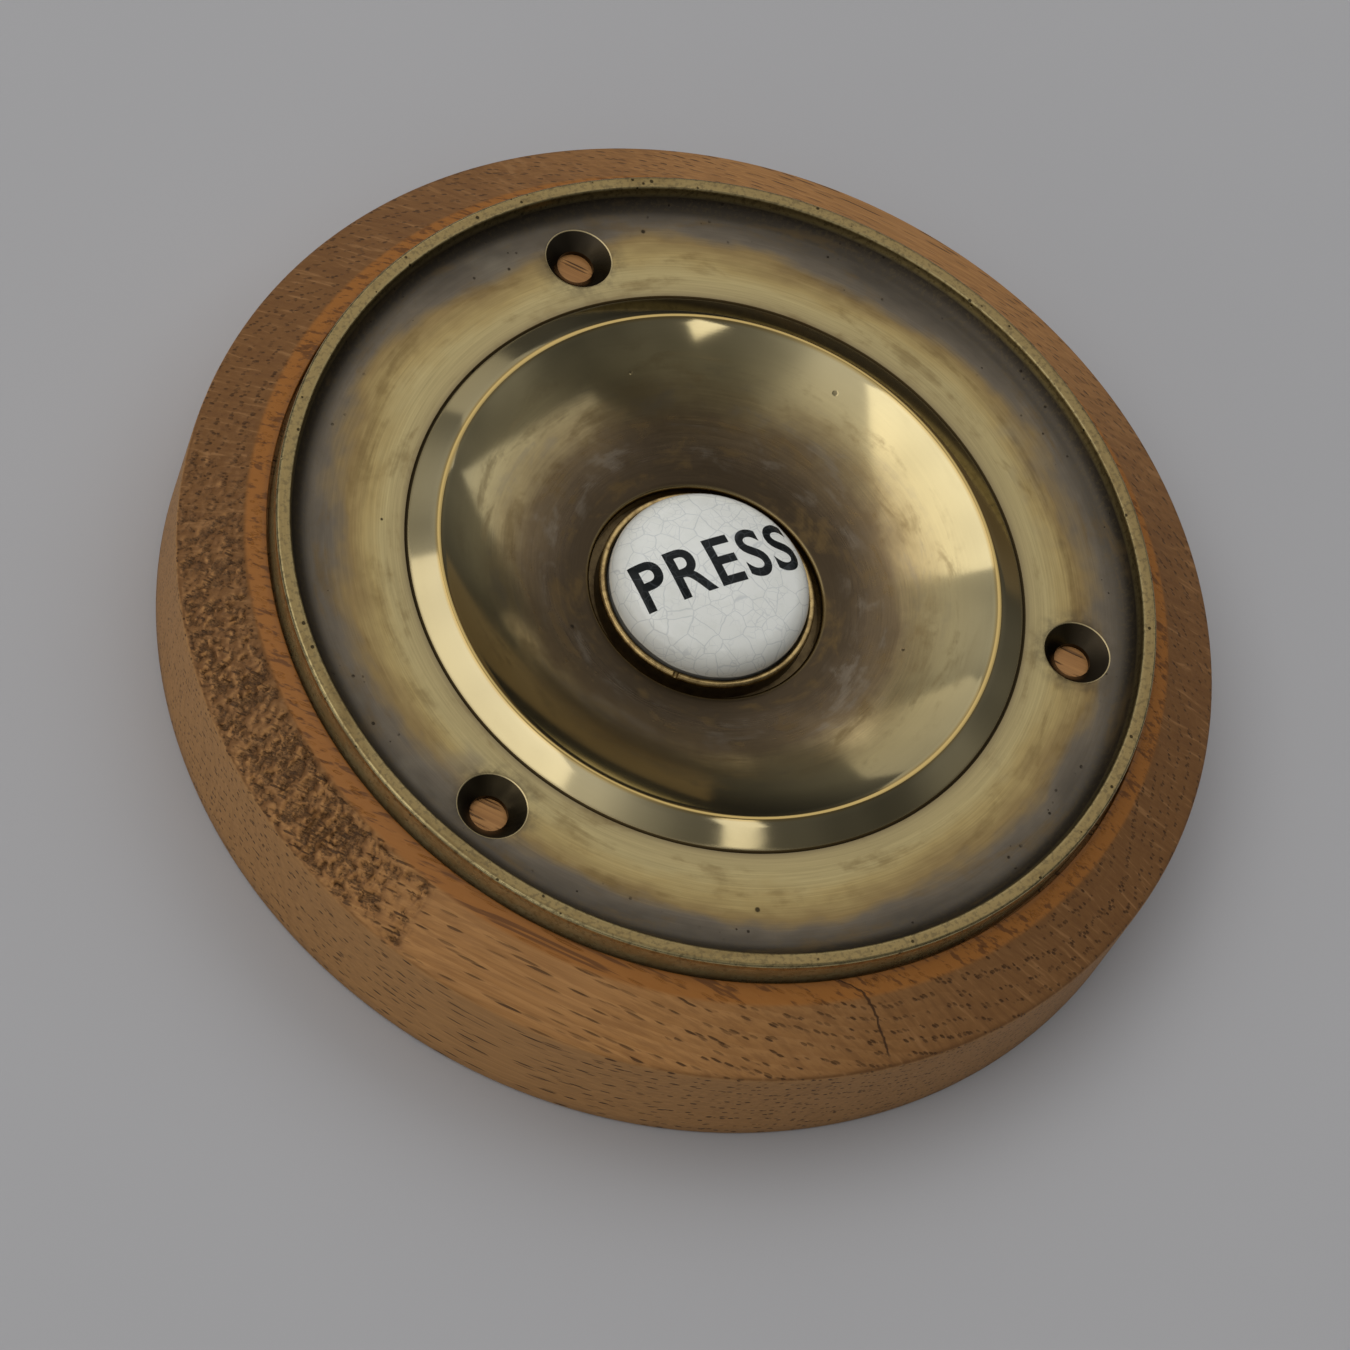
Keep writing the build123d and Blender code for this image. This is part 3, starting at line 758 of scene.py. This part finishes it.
def makeCup():
    c = cup
    inner = c["radius"] - c["wall"]
    bm = bmesh.new()
    drawSection(bm, [(c["spigotHole"], c["bottom"]), (c["radius"], c["bottom"]), (c["radius"], c["top"]),
                     (inner, c["top"]), (inner, c["floorTop"]), (c["spigotHole"], c["floorTop"])])
    for corner in ((c["radius"], c["top"]), (inner, c["top"])):
        roundCorner(bm, corner, c["lipRound"], 6)
    splitLong(bm, lambda r, z: c["span"])
    turnSection(bm, c["steps"])
    piece = finishPiece(bm, "bezel_cup")
    nick = turnedCutter("nick", postSection(c["nickRadius"], -c["wall"], c["wall"]), (0, 0, 0), 24)
    nick.data.transform(Matrix.Rotation(math.radians(90), 4, "Y"))
    nick.data.transform(Matrix.Rotation(math.radians(c["nickAngle"]), 4, "Z"))
    nick.data.transform(Matrix.Translation(polar(c["radius"], c["nickAngle"], c["top"]) * mm))
    cutPiece(piece, [nick])
    return piece


def insertCurve():
    i = insert
    edgeRadius = i["radius"] - i["edgeRound"]
    domeCentre = i["top"] - i["domeRadius"]
    inner = i["domeRadius"] - i["edgeRound"]
    edgeCentre = domeCentre + math.sqrt(inner ** 2 - edgeRadius ** 2)
    tangent = math.asin(edgeRadius / inner)  # measured from the axis
    return edgeRadius, edgeCentre, domeCentre, tangent


def makeInsert():
    i = insert
    edgeRadius, edgeCentre, domeCentre, tangent = insertCurve()
    points = [(0, i["bottom"]), (i["radius"], i["bottom"])]
    points += arcPoints((edgeRadius, edgeCentre), i["edgeRound"], 0, math.pi / 2 - tangent, 12)
    points += arcPoints((0, domeCentre), i["domeRadius"], math.pi / 2 - tangent, math.pi / 2, 18)[1:]
    bm = bmesh.new()
    drawSection(bm, points, closed=False)
    splitLong(bm, lambda r, z: i["span"])
    turnSection(bm, i["steps"])
    return finishPiece(bm, "porcelain_disc")


def onDome(x, y, proud):
    i = insert
    edgeRadius, edgeCentre, domeCentre, tangent = insertCurve()
    run = math.hypot(x, y)
    if run == 0:
        return Vector((0, 0, i["top"] + proud))
    lean = run / i["domeRadius"]
    if lean <= tangent:
        radius, height = math.sin(lean) * i["domeRadius"], domeCentre + math.cos(lean) * i["domeRadius"]
    else:
        lean = tangent + (run - tangent * i["domeRadius"]) / i["edgeRound"]
        radius = edgeRadius + math.sin(lean) * i["edgeRound"]
        height = edgeCentre + math.cos(lean) * i["edgeRound"]
    radius += math.sin(lean) * proud
    return Vector((x / run * radius, y / run * radius, height + math.cos(lean) * proud))


def makeWord():
    w = word
    letters = bpy.data.curves.new("word", "FONT")
    letters.body = w["text"]
    letters.offset = w["boldness"]
    letters.space_character = w["spacing"]
    letters.resolution_u = w["curveSteps"]
    flat = bpy.data.objects.new("word", letters)
    collection.objects.link(flat)
    graph = bpy.context.evaluated_depsgraph_get()
    mesh = bpy.data.meshes.new_from_object(flat.evaluated_get(graph))
    bpy.data.objects.remove(flat)
    bm = bmesh.new()
    bm.from_mesh(mesh)
    bpy.data.meshes.remove(mesh)
    bmesh.ops.remove_doubles(bm, verts=bm.verts, dist=w["weld"])
    low = Vector([min(v.co[k] for v in bm.verts) for k in range(3)])
    high = Vector([max(v.co[k] for v in bm.verts) for k in range(3)])
    bmesh.ops.translate(bm, vec=-(low + high) / 2, verts=bm.verts)
    size = high - low
    bmesh.ops.scale(bm, vec=(w["width"] / size.x, w["height"] / size.y, 1), verts=bm.verts)
    for axis, length in ((Vector((1, 0, 0)), w["width"]), (Vector((0, 1, 0)), w["height"])):
        for k in range(1, int(length / w["grid"])):
            bmesh.ops.bisect_plane(bm, geom=bm.verts[:] + bm.edges[:] + bm.faces[:],
                                   plane_co=axis * (k * w["grid"] - length / 2), plane_no=axis)
    clearSlivers(bm, sliver)
    under = bmesh.ops.extrude_face_region(bm, geom=bm.faces[:])["geom"]
    lowered = [item for item in under if isinstance(item, bmesh.types.BMVert)]
    bmesh.ops.translate(bm, vec=(0, 0, -w["sunk"]), verts=lowered)
    bmesh.ops.recalc_face_normals(bm, faces=bm.faces)
    turn = Matrix.Rotation(math.radians(w["turn"]), 3, "Z")
    bmesh.ops.rotate(bm, cent=(0, 0, 0), matrix=turn, verts=bm.verts)
    for vert in bm.verts:
        vert.co = onDome(vert.co.x + w["shift"][0], vert.co.y + w["shift"][1], vert.co.z + w["proud"])
    return finishPiece(bm, "button_word", 60)


def makeCrackle():
    group, bench, entry, leave = newGroup("crackle", {"Place": (0, 0, 0)}, ("Lines", "Stain"))
    bent = bench.vector("ADD", entry["Place"], bench.vector(
        "SCALE", bench.noise(entry["Place"], 0.5, 2.0, colour=True), scale=0.7))
    wide = bench.spread(bench.cells(bent, 0.42, "DISTANCE_TO_EDGE")["Distance"], 0.034, 0.004)
    small = bench.spread(bench.cells(bent, 0.95, "DISTANCE_TO_EDGE")["Distance"], 0.05, 0.006)
    gate = bench.spread(bench.noise(entry["Place"], 0.35, 2.0), 0.40, 0.62)
    bench.put(leave["Lines"], bench.calc("MAXIMUM", bench.times(wide, 0.9), bench.times(small, gate, 0.75)))
    bench.put(leave["Stain"], bench.spread(bench.noise(entry["Place"], 0.6, 4.0, 0.6), 0.4, 0.75))
    return group


def makeGlaze():
    i = insert
    material, bench, shader, spot = newMaterial("crackledGlaze", Roughness=0.08)
    net = bench.use(crackle, Place=spot)
    colour = bench.tint(i["glaze"], net["Stain"], 0.5, i["stain"])
    colour = bench.tint(colour, net["Lines"], 0.36, i["crackled"])
    uneven = bench.plus(bench.split(spot)[2], bench.noise(spot, 0.12, 2.0, 0.5))
    joint = bench.spread(uneven, cup["top"] + i["jointEdge"], cup["top"] + i["jointFull"])
    colour = bench.tint(colour, joint, 0.85, (0.045, 0.04, 0.032))
    dots = bench.use(specks, Place=spot, Cell=2.2, Share=0.12, Size=0.05)["Mask"]
    colour = bench.tint(colour, dots, 0.7, (0.08, 0.08, 0.08))
    bench.put(shader["Base Color"], colour)
    height = bench.minus(bench.noise(spot, 0.35, 2.0), net["Lines"])
    bench.put(shader["Normal"], bench.bump(height, 0.012 * mm, 0.5))
    return material


def makeInk():
    material, bench, shader, spot = newMaterial("letterInk", Roughness=0.12, Specular_IOR_Level=0.1)
    net = bench.use(crackle, Place=spot)
    colour = bench.tint(word["ink"], net["Stain"], 0.6, word["wornInk"])
    colour = bench.tint(colour, net["Lines"], 0.35, (0.09, 0.1, 0.11))
    bench.put(shader["Base Color"], colour)
    return material


def makeDullBrass():
    c = cup
    material, bench, shader, spot = newMaterial("bezelBrass", Metallic=1.0)
    rings = bench.use(latheRings, Place=spot, Fine=7.0, Drift=4.0)
    grime = bench.noise(spot, 0.8, 5.0, 0.65)
    colour = bench.mix(bench.spread(grime, 0.38, 0.68), c["bright"], c["tarnish"])
    # painted shade: darker towards the bottom of the cup, down in the gap inside the plate's hole
    low = bench.spread(bench.split(spot)[2], c["top"] - 0.15, c["top"] - 0.9)
    colour = bench.tint(colour, low, 0.75, (0.07, 0.05, 0.03))
    dots = bench.use(specks, Place=spot, Cell=1.3, Share=0.3, Size=0.12)["Mask"]
    colour = bench.tint(colour, dots, 0.7, (0.03, 0.022, 0.014))
    bench.put(shader["Base Color"], colour)
    bench.put(shader["Roughness"], bench.spread(bench.plus(rings["Rings"], low), 0.3, 1.4, 0.24, 0.48))
    height = bench.minus(bench.times(rings["Rings"], 0.3), dots)
    bench.put(shader["Normal"], bench.bump(height, 0.03 * mm, 0.6))
    return material


crackle = makeCrackle()
dullBrass = makeDullBrass()
for piece, material, node, slotName in (
        (makeCup(), dullBrass, "button_cup", "bezel_brass"),
        (makeInsert(), makeGlaze(), "porcelain_insert", "porcelain"),
        (makeWord(), makeInk(), None, "porcelain")):
    dressPiece(piece, material, node)
    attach(piece, "button")

# contacts behind the plate
leaf = {"footEnd": -12.6, "tipStart": -0.6, "cut": 0.6, "reach": 4.0, "weld": 0.001}
metals = {  # bright colour, tarnish, roughness and fineness of the rolling marks
    "springBronze": ((0.55, 0.36, 0.19), (0.30, 0.17, 0.085), 0.26, 4.0),
    "contactBrass": ((0.60, 0.46, 0.20), (0.30, 0.205, 0.085), 0.24, 1.2),
    "contactSilver": ((0.72, 0.71, 0.68), (0.30, 0.28, 0.25), 0.3, 1.2),
}


def makeLeaf():
    bm = bmesh.new()
    bm.from_mesh(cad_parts["contact_leaf"].data)
    bmesh.ops.scale(bm, vec=(1 / mm, 1 / mm, 1 / mm), verts=bm.verts)
    bmesh.ops.remove_doubles(bm, verts=bm.verts, dist=leaf["weld"])
    for k in range(int((leaf["reach"] - leaf["footEnd"]) / leaf["cut"])):
        bmesh.ops.bisect_plane(bm, geom=bm.verts[:] + bm.edges[:] + bm.faces[:],
                               plane_co=(leaf["footEnd"] + k * leaf["cut"], 0, 0), plane_no=(1, 0, 0))
    clearSlivers(bm, sliver)
    return finishPiece(bm, "spring_leaf")


def makeRolledMetal(name):
    bright, tarnish, rough, fineness = metals[name]
    material, bench, shader, spot = newMaterial(name, Metallic=1.0)
    x, y, z = bench.split(spot)
    drawn = bench.noise(bench.join(bench.times(x, 0.25), bench.times(y, fineness), z), 1.0, 4.0, 0.6)
    age = bench.noise(spot, 0.4, 5.0, 0.65)
    hair = bench.use(scratches, Place=spot, Length=6.0, Width=0.014)["Mask"]
    dots = bench.use(specks, Place=spot, Cell=1.6, Share=0.25, Size=0.1)["Mask"]
    colour = bench.mix(bench.spread(age, 0.42, 0.72), bright, tarnish)
    colour = bench.tint(colour, dots, 0.6, (0.04, 0.03, 0.02))
    bench.put(shader["Base Color"], bench.tint(colour, drawn, 0.3, tarnish))
    bench.put(shader["Roughness"], bench.spread(bench.plus(drawn, age), 0.6, 1.4, rough, rough + 0.18))
    bench.put(shader["Normal"], bench.bump(bench.minus(drawn, bench.plus(hair, dots)), 0.02 * mm, 0.5))
    return material


def makeEbonite():
    material, bench, shader, spot = newMaterial("ebonite", Specular_IOR_Level=0.4)
    rings = bench.use(latheRings, Place=spot, Fine=4.0, Drift=2.0)
    bloom = bench.noise(spot, 0.25, 5.0, 0.6)
    dust = bench.use(specks, Place=spot, Cell=1.2, Share=0.35, Size=0.07)["Mask"]
    colour = bench.mix(bench.spread(bloom, 0.4, 0.75), (0.016, 0.015, 0.014), (0.045, 0.034, 0.022))
    bench.put(shader["Base Color"], bench.tint(colour, dust, 0.4, (0.12, 0.105, 0.085)))
    bench.put(shader["Roughness"], bench.spread(rings["Rings"], 0.3, 0.7, 0.36, 0.56))
    bench.put(shader["Normal"], bench.bump(rings["Rings"], 0.02 * mm, 0.5))
    return material


springLeaf = makeLeaf()
dressPiece(springLeaf, makeRolledMetal("springBronze"), "contact_leaf")
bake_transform(springLeaf)
contactBrass = makeRolledMetal("contactBrass")
ebonite = makeEbonite()
innerFinish = {
    "retaining_washer": dullBrass, "push_pip": ebonite, "contact_base": ebonite,
    "contact_strip": contactBrass, "contact_point": makeRolledMetal("contactSilver"),
    "terminal_screws": contactBrass, "terminal_washers": contactBrass, "terminal_nuts": contactBrass,
    "base_screws": contactBrass,
}
for node, material in innerFinish.items():
    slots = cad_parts[node].data.materials
    slots.clear()
    slots.append(material)
print("contacts finished")

# floor, soft light and camera
stage = {
    "floorSize": 4.0, "floorColour": (0.50, 0.50, 0.515), "worldLow": 0.03, "worldHigh": 0.66,
    "darkSide": 28, "darkShare": 0.66, "shadeSide": -15, "shadeRise": 55, "shadeShare": 0.3,
    # name, azimuth from the camera's right, elevation, distance, width, height, radiance, colour
    "lamps": (
        ("windowSoftbox", -154, 59, 1.0, 0.98, 0.52, 1.05, (1.0, 0.98, 0.95)),
        ("farPanel", 84, 52, 1.0, 1.3, 0.75, 0.6, (0.97, 0.98, 1.0)),
        ("nearPatch", -31, 62, 0.9, 0.12, 0.12, 1.5, (1.0, 0.98, 0.93)),
        ("lowStrip", 87, 22, 1.0, 0.55, 0.05, 0.8, (1.0, 0.95, 0.85)),
        ("sidePanel", 128, 26, 1.0, 0.4, 0.3, 0.4, (1.0, 0.97, 0.9)),
        ("nearFill", -121, 20, 1.2, 1.7, 0.4, 0.75, (1.0, 0.98, 0.95)),
        ("warmCard", 72, 11, 1.0, 1.0, 0.16, 0.12, (1.0, 0.72, 0.36)),
    ),
}
view = {
    "azimuth": -46.6, "elevation": 55.7, "roll": 27.417, "yaw": -0.127, "pitch": 1.558,
    "distance": 0.5, "lens": 127.86, "aimHeight": 0.021,
}


def aim(azimuth, elevation):  # azimuth is from the camera's right
    side, rise = math.radians(azimuth + view["azimuth"]), math.radians(elevation)
    return Vector((math.cos(side) * math.cos(rise), math.sin(side) * math.cos(rise), math.sin(rise)))


def makeFloor():
    bm = bmesh.new()
    bmesh.ops.create_grid(bm, x_segments=1, y_segments=1, size=stage["floorSize"] / 2 / mm)
    floor = finishPiece(bm, "floor")
    material, bench, shader, spot = newMaterial("paleFloor", Roughness=0.85, Specular_IOR_Level=0.2)
    weave = bench.noise(spot, 0.02, 3.0)
    low = tuple(c * 0.96 for c in stage["floorColour"])
    bench.put(shader["Base Color"], bench.mix(weave, low, stage["floorColour"]))
    floor.data.materials.append(material)


def makeLamps():
    for name, azimuth, elevation, distance, width, height, radiance, colour in stage["lamps"]:
        toward = aim(azimuth, elevation)
        light = bpy.data.lights.new(name, "AREA")
        light.shape = "RECTANGLE"
        light.size = width
        light.size_y = height
        light.color = colour
        light.energy = radiance * math.pi * width * height
        lamp = bpy.data.objects.new(name, light)
        collection.objects.link(lamp)
        lamp.location = toward * distance
        lamp.rotation_euler = toward.to_track_quat("Z", "Y").to_euler()


def makeWorld():
    s = stage
    world = bpy.data.worlds.new("softRoom")
    world.use_nodes = True
    bench = NodeBench(world.node_tree)
    toward = bench.add("ShaderNodeTexCoord").outputs["Generated"]
    up = bench.split(toward)[2]
    glow = bench.spread(up, 0.05, 1.0, s["worldLow"], s["worldHigh"])  # dark low down, soft overhead
    aside = bench.vector("DOT_PRODUCT", toward, aim(s["darkSide"], 0))
    dark = bench.spread(aside, 0.1, 0.9, 1.0, s["darkShare"])
    under = bench.vector("DOT_PRODUCT", toward, aim(s["shadeSide"], s["shadeRise"]))
    shade = bench.spread(under, 0.79, 0.96, 1.0, s["shadeShare"])
    patches = bench.spread(bench.noise(toward, 2.2, 2.0, 0.5), 0.3, 0.7, 0.65, 1.35)
    glow = bench.times(glow, dark, shade, patches)
    bench.put(world.node_tree.nodes["Background"].inputs["Color"], bench.join(glow, glow, glow))
    bpy.context.scene.world = world


def makeCamera():
    back, right = aim(-90, view["elevation"]), aim(0, 0)
    turn = Matrix((right, back.cross(right), back)).transposed()
    for axis, angle in (("Y", view["yaw"]), ("X", -view["pitch"]), ("Z", view["roll"])):
        turn = turn @ Matrix.Rotation(math.radians(angle), 3, axis)
    camera = bpy.data.cameras.new("camera")
    camera.lens = view["lens"]
    cameraObject = bpy.data.objects.new("camera", camera)
    collection.objects.link(cameraObject)
    stand = Vector((0, 0, view["aimHeight"])) + back * view["distance"]
    cameraObject.matrix_world = Matrix.Translation(stand) @ turn.to_4x4()
    bpy.context.scene.camera = cameraObject


makeFloor()
makeLamps()
makeWorld()
makeCamera()
bpy.context.scene.view_settings.view_transform = "Standard"
print("stage set")
